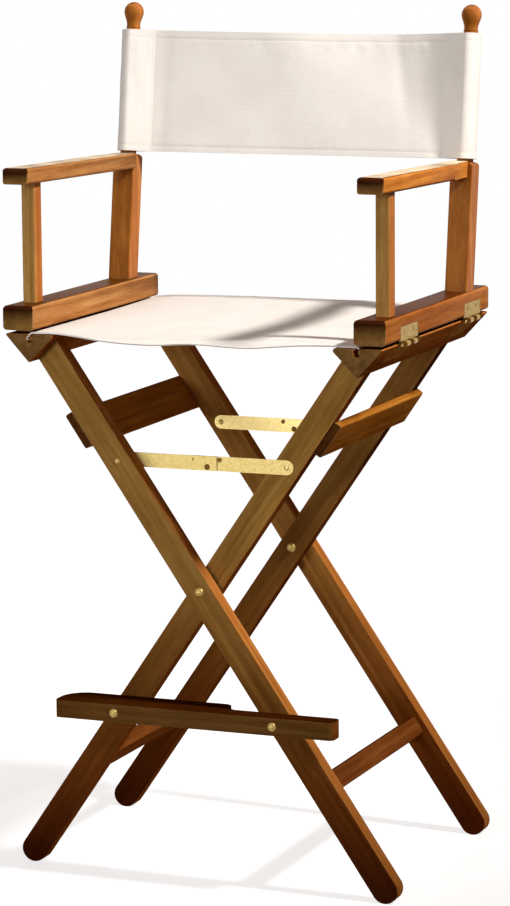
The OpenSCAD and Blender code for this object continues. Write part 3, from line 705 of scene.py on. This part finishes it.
def stitch_tree():
    """Lays short round-ended stitches along the edges of a path mesh."""
    tree = bpy.data.node_groups.new("run_of_stitches", "GeometryNodeTree")
    tree.interface.new_socket("Geometry", in_out="INPUT", socket_type="NodeSocketGeometry")
    for label, value in (("Spacing", SPACING), ("Stitch", STITCH), ("Thread", THREAD_R)):
        tree.interface.new_socket(label, in_out="INPUT", socket_type="NodeSocketFloat").default_value = value
    tree.interface.new_socket("Geometry", in_out="OUTPUT", socket_type="NodeSocketGeometry")
    given = add(tree, "NodeGroupInput").outputs
    line = add(tree, "GeometryNodeMeshToCurve", {"Mesh": given["Geometry"]})
    marks = add(tree, "GeometryNodeResampleCurve", {"Curve": line.outputs[0], "Length": given["Spacing"]},
                mode="LENGTH")
    bead = add(tree, "GeometryNodeMeshUVSphere", {"Segments": 6, "Rings": 4, "Radius": 1.0})
    half = add(tree, "ShaderNodeMath", {0: given["Stitch"], 1: 0.5}, operation="MULTIPLY")
    size = add(tree, "ShaderNodeCombineXYZ", {0: half.outputs[0], 1: given["Thread"], 2: given["Thread"]})
    stitch = add(tree, "GeometryNodeTransform", {"Geometry": bead.outputs["Mesh"], "Scale": size.outputs[0]})
    tangent = add(tree, "GeometryNodeInputTangent")
    turn = add(tree, "FunctionNodeAlignRotationToVector", {"Vector": tangent.outputs[0]}, axis="X")
    laid = add(tree, "GeometryNodeInstanceOnPoints", {
        "Points": marks.outputs[0], "Instance": stitch.outputs[0], "Rotation": turn.outputs[0]})
    whole = add(tree, "GeometryNodeRealizeInstances", {0: laid.outputs[0]})
    painted = add(tree, "GeometryNodeSetMaterial", {"Geometry": whole.outputs[0], "Material": thread})
    add(tree, "NodeGroupOutput", {0: painted.outputs[0]})
    return tree


stitch_nodes = stitch_tree()


def stitched(name, lines, body):
    """Stitches along polylines, as one mesh."""
    points, edges = [], []
    for line in lines:
        start = len(points)
        points += [tuple(p) for p in line]
        edges += [(k, k + 1) for k in range(start, len(points) - 1)]
    data = bpy.data.meshes.new(name)
    data.from_pydata(points, edges, [])
    done = real_mesh(data, stitch_nodes, Spacing=SPACING)
    for face in done.polygons:
        face.use_smooth = True
    return finish_piece(name, done, thread, body, "canvas")


# how far in millimetres the stitches' middles stand from the cloth's, and where the seat's seams stop
PROUD, SEAT_SEAM_END = 0.75, 222.0
seat_lines = [[(x * MM, Y_MID + (y - front_reach(x, y)) * MM, (seat_height(x, y) + PROUD) * MM)
               for x in np.linspace(-SEAT_SEAM_END, SEAT_SEAM_END, 120)] for y in (FRONT_SEAM_Y, REAR_SEAM_Y)]
seat_stitches = stitched("seat_hem_stitches", seat_lines, None)
panel_lines = []
for v in (BACK_H - HEM_TOP, HEM_LOW):
    line = [panel_point(x, v) for x in xs[2:-2]]
    panel_lines.append([back_point(x, d - PROUD, up) for x, d, up in line])
panel_stitches = stitched("back_panel_stitches", panel_lines, "left_arm")

# ---------- screws in the hinge leaves, in millimetres ----------

# a head's rim and raised halves, their heights, half its slot, and how deep the rim sits in the leaf
RIM_R, RIM_TOP, RAISED_R, RAISED_TOP, HALF_SLOT, SUNK = 3.5, 0.12, 3.0, 0.55, 0.45, 0.3


def screw_head():
    """A slotted countersunk head: a rim disc and two raised halves."""
    mesh = bmesh.new()

    def prism(outline, low, high):
        """A flat outline drawn up from low to high."""
        bottom = [mesh.verts.new((x, y, low)) for x, y in outline]
        top = [mesh.verts.new((x, y, high)) for x, y in outline]
        mesh.faces.new(bottom[::-1])
        mesh.faces.new(top)
        for k in range(len(outline)):
            n = (k + 1) % len(outline)
            mesh.faces.new((bottom[k], bottom[n], top[n], top[k]))

    rim = [math.pi * k / 10 for k in range(20)]
    prism([(RIM_R * math.cos(a), RIM_R * math.sin(a)) for a in rim], -SUNK, RIM_TOP)
    start = math.asin(HALF_SLOT / RAISED_R)
    # the halves start just inside the disc, so that nothing shows between them
    for about in (0, math.pi):
        arc = [about + start + (math.pi - 2 * start) * k / 9 for k in range(10)]
        prism([(RAISED_R * math.cos(a), RAISED_R * math.sin(a)) for a in arc], RIM_TOP - 0.02, RAISED_TOP)
    bmesh.ops.scale(mesh, vec=(MM, MM, MM), verts=mesh.verts)
    data = bpy.data.meshes.new("screw_head")
    mesh.to_mesh(data)
    mesh.free()
    head = bpy.data.objects.new("screw_head", data)
    bpy.context.collection.objects.link(head)
    return head


def screw_tree(head):
    """Sets a screw head on each point, along its normal, each slot left at its own angle."""
    tree = bpy.data.node_groups.new("driven_screws", "GeometryNodeTree")
    tree.interface.new_socket("Geometry", in_out="INPUT", socket_type="NodeSocketGeometry")
    tree.interface.new_socket("Paint", in_out="INPUT", socket_type="NodeSocketMaterial")
    tree.interface.new_socket("Geometry", in_out="OUTPUT", socket_type="NodeSocketGeometry")
    given = add(tree, "NodeGroupInput").outputs
    facing = add(tree, "GeometryNodeInputNamedAttribute", {"Name": "facing"}, data_type="FLOAT_VECTOR")
    turn = add(tree, "FunctionNodeAlignRotationToVector", {"Vector": facing.outputs[0]}, axis="Z")
    spin = add(tree, "FunctionNodeRandomValue", {"Seed": 7}, data_type="FLOAT")
    angle = add(tree, "ShaderNodeMath", {0: [o for o in spin.outputs if o.enabled][0], 1: math.pi},
                operation="MULTIPLY")
    about = add(tree, "ShaderNodeCombineXYZ", {2: angle.outputs[0]})
    both = add(tree, "FunctionNodeRotateRotation", {
        "Rotation": turn.outputs[0], "Rotate By": about.outputs[0]}, rotation_space="LOCAL")
    shape = add(tree, "GeometryNodeObjectInfo", {"Object": head})
    laid = add(tree, "GeometryNodeInstanceOnPoints", {
        "Points": given["Geometry"], "Instance": shape.outputs["Geometry"], "Rotation": both.outputs[0]})
    whole = add(tree, "GeometryNodeRealizeInstances", {0: laid.outputs[0]})
    painted = add(tree, "GeometryNodeSetMaterial", {
        "Geometry": whole.outputs[0], "Material": given["Paint"]})
    add(tree, "NodeGroupOutput", {0: painted.outputs[0]})
    return tree


head = screw_head()
screw_nodes = screw_tree(head)


def screws(name, places, facing, paint, body):
    """Screw heads at places in metres, all facing one way, as one mesh."""
    data = bpy.data.meshes.new(name)
    data.from_pydata(places, [], [])
    layer = data.attributes.new("facing", "FLOAT_VECTOR", "POINT")
    for item in layer.data:
        item.vector = facing
    return finish_piece(name, real_mesh(data, screw_nodes, Paint=paint), paint, body, "brass")


# the lower leaves lie on the rails' slopes, which go in from the shoulder's x to the foot's over the drop
SHOULDER_X, FOOT_X, DROP = 274.0, 239.0, 39.6
LEAF_TILT = math.atan((SHOULDER_X - FOOT_X) / DROP)
# the heads on the lower leaves: how far out from the slope, and how far down it
LEAF_OUT, LEAF_DOWN = 1.0, 21.0
# the heads on the upper leaves
UPPER_X, UPPER_Z = 277.95, 776.0
# where a hinge starts along the chair's depth, and its screws from there
screw_ys = [Y_MID + (start + step) * MM for start in (-160.0, 106.0) for step in (17, 53)]
lower_x = SHOULDER_X + LEAF_OUT * math.cos(LEAF_TILT) - LEAF_DOWN * math.sin(LEAF_TILT)
lower_z = RAIL_Z - LEAF_OUT * math.sin(LEAF_TILT) - LEAF_DOWN * math.cos(LEAF_TILT)
for side, hand, frame_body in ((-1, "left", "frame_outer"), (1, "right", "frame_inner")):
    screws(hand + "_upper_leaf_screws", [(side * UPPER_X * MM, y, UPPER_Z * MM) for y in screw_ys],
           (side, 0, 0), brass, hand + "_arm")
    # the lower leaves' screws get the dark brass as painted shade
    screws(hand + "_lower_leaf_screws", [(side * lower_x * MM, y, lower_z * MM) for y in screw_ys],
           (side * math.cos(LEAF_TILT), 0, -math.sin(LEAF_TILT)), shaded_old_brass, frame_body)
bpy.data.objects.remove(head)

# ---------- how the cloth moves ----------
for piece in (seat, seat_stitches):
    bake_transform(piece, "frame_outer", "frame_inner", start=(-0.2, Y_MID, 0.76), end=(0.2, Y_MID, 0.76))
# folding leaves the panel 5.4 % of its width
for piece in (panel, panel_stitches):
    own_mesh(piece)

# ---------- camera ----------
# it looks at a point over the floor, in metres, and its window is set off that point a little
AIM, DISTANCE = Vector((0, Y_MID, 0.56)), 5.0558
AZIMUTH, ELEVATION, ROLL = math.radians(21.953), math.radians(9.45), math.radians(-0.445)
LENS_MM, FILM_MM, SHIFT_X, SHIFT_Y = 142.65457, 36, 0.00271523, 0.01091611
camera = bpy.data.objects.new("camera", bpy.data.cameras.new("camera"))
bpy.context.collection.objects.link(camera)
bpy.context.scene.camera = camera
back = Vector((math.sin(AZIMUTH) * math.cos(ELEVATION), -math.cos(AZIMUTH) * math.cos(ELEVATION),
               math.sin(ELEVATION)))
right = Vector((math.cos(AZIMUTH), math.sin(AZIMUTH), 0))
up = back.cross(right)
rolled_right = right * math.cos(ROLL) + up * math.sin(ROLL)
rolled_up = up * math.cos(ROLL) - right * math.sin(ROLL)
axes = Matrix((rolled_right, rolled_up, back)).transposed()
camera.matrix_world = Matrix.Translation(AIM + back * DISTANCE) @ axes.to_4x4()
camera.data.sensor_width = FILM_MM
camera.data.lens = LENS_MM
camera.data.shift_x = SHIFT_X
camera.data.shift_y = SHIFT_Y
camera.data.clip_end = 200

# ---------- floor, world and lamps ----------
scene = bpy.context.scene
scene.view_settings.view_transform = "Standard"


def seen_directly(tree):
    """1 for what the camera, a reflection or glass sees, 0 for light that falls on things."""
    path = add(tree, "ShaderNodeLightPath").outputs
    first = add(tree, "ShaderNodeMath", {0: path["Is Camera Ray"], 1: path["Is Glossy Ray"]},
                operation="MAXIMUM").outputs[0]
    return add(tree, "ShaderNodeMath", {0: first, 1: path["Is Transmission Ray"]},
               operation="MAXIMUM").outputs[0]


floor_mesh = bpy.data.meshes.new("floor")
shape = bmesh.new()
bmesh.ops.create_circle(shape, cap_ends=True, segments=64, radius=6.0)
shape.to_mesh(floor_mesh)
shape.free()
floor = bpy.data.objects.new("floor", floor_mesh)
bpy.context.collection.objects.link(floor)
# matt paper, which keeps the chair's shadow and fades to pure white away from it
paper, tree = new_material("white_studio_paper")
place = add(tree, "ShaderNodeTexCoord")
away = add(tree, "ShaderNodeVectorMath", {0: place.outputs["Object"]}, operation="LENGTH")
glow = add(tree, "ShaderNodeMapRange", {"Value": away.outputs["Value"], "From Min": 0.5, "From Max": 1.6,
                                        "To Min": 0.74, "To Max": 1.0})
share = add(tree, "ShaderNodeMath", {0: seen_directly(tree), 1: glow.outputs[0]}, operation="MULTIPLY")
matt = add(tree, "ShaderNodeBsdfDiffuse", {"Color": (0.6, 0.6, 0.6, 1)})
white = add(tree, "ShaderNodeEmission", {"Color": (1, 1, 1, 1), "Strength": share.outputs[0]})
both = add(tree, "ShaderNodeAddShader", {0: matt.outputs[0], 1: white.outputs[0]})
add(tree, "ShaderNodeOutputMaterial", {"Surface": both.outputs[0]})
floor_mesh.materials.append(paper)

world = bpy.data.worlds.new("studio")
scene.world = world
world.use_nodes = True
tree = world.node_tree
tree.nodes.clear()
# a dim warm room lights the chair, and a white one is seen
dim = add(tree, "ShaderNodeBackground", {"Color": (1.0, 0.62, 0.5, 1), "Strength": 0.14})
white = add(tree, "ShaderNodeBackground", {"Color": (1, 1, 1, 1), "Strength": 1.0})
both = add(tree, "ShaderNodeMixShader", {0: seen_directly(tree), 1: dim.outputs[0], 2: white.outputs[0]})
add(tree, "ShaderNodeOutputWorld", {"Surface": both.outputs[0]})


def lamp(name, place, aim, radius, level, cone, colour, glints=True):
    """A soft spot; level is how bright a white sheet facing it is at its aim, where 1 is white. Without
    glints it lights surfaces but isn't mirrored in them."""
    light = bpy.data.lights.new(name, "SPOT")
    way = Vector(aim) - Vector(place)
    light.shadow_soft_size = radius
    light.energy = level * 4 * math.pi ** 2 * way.length ** 2
    light.color = colour
    light.spot_size = math.radians(cone)
    light.spot_blend = 1.0
    spot = bpy.data.objects.new(name, light)
    bpy.context.collection.objects.link(spot)
    spot.location = place
    spot.visible_glossy = glints
    spot.rotation_euler = way.to_track_quat("-Z", "Y").to_euler()


lamp("key", (2.86, -0.36, 3.75), (0, 0, 1.05), radius=0.22, level=1.48, cone=32, colour=(1.02, 0.98, 0.94))
lamp("front_fill", (-0.9, -4.6, 1.5), (0, 0, 1.0), radius=0.8, level=0.62, cone=24, colour=(0.97, 1.01, 1.03))
lamp("high_fill", (-1.2, -2.6, 3.6), (0, 0, 1.0), radius=1.1, level=0.2, cone=30, colour=(0.98, 1.0, 1.02))
lamp("rear_fill", (-1.4, 4.5, 1.2), (0, 0, 0.8), radius=0.9, level=0.55, cone=26, colour=(1.0, 1.0, 1.0),
     glints=False)
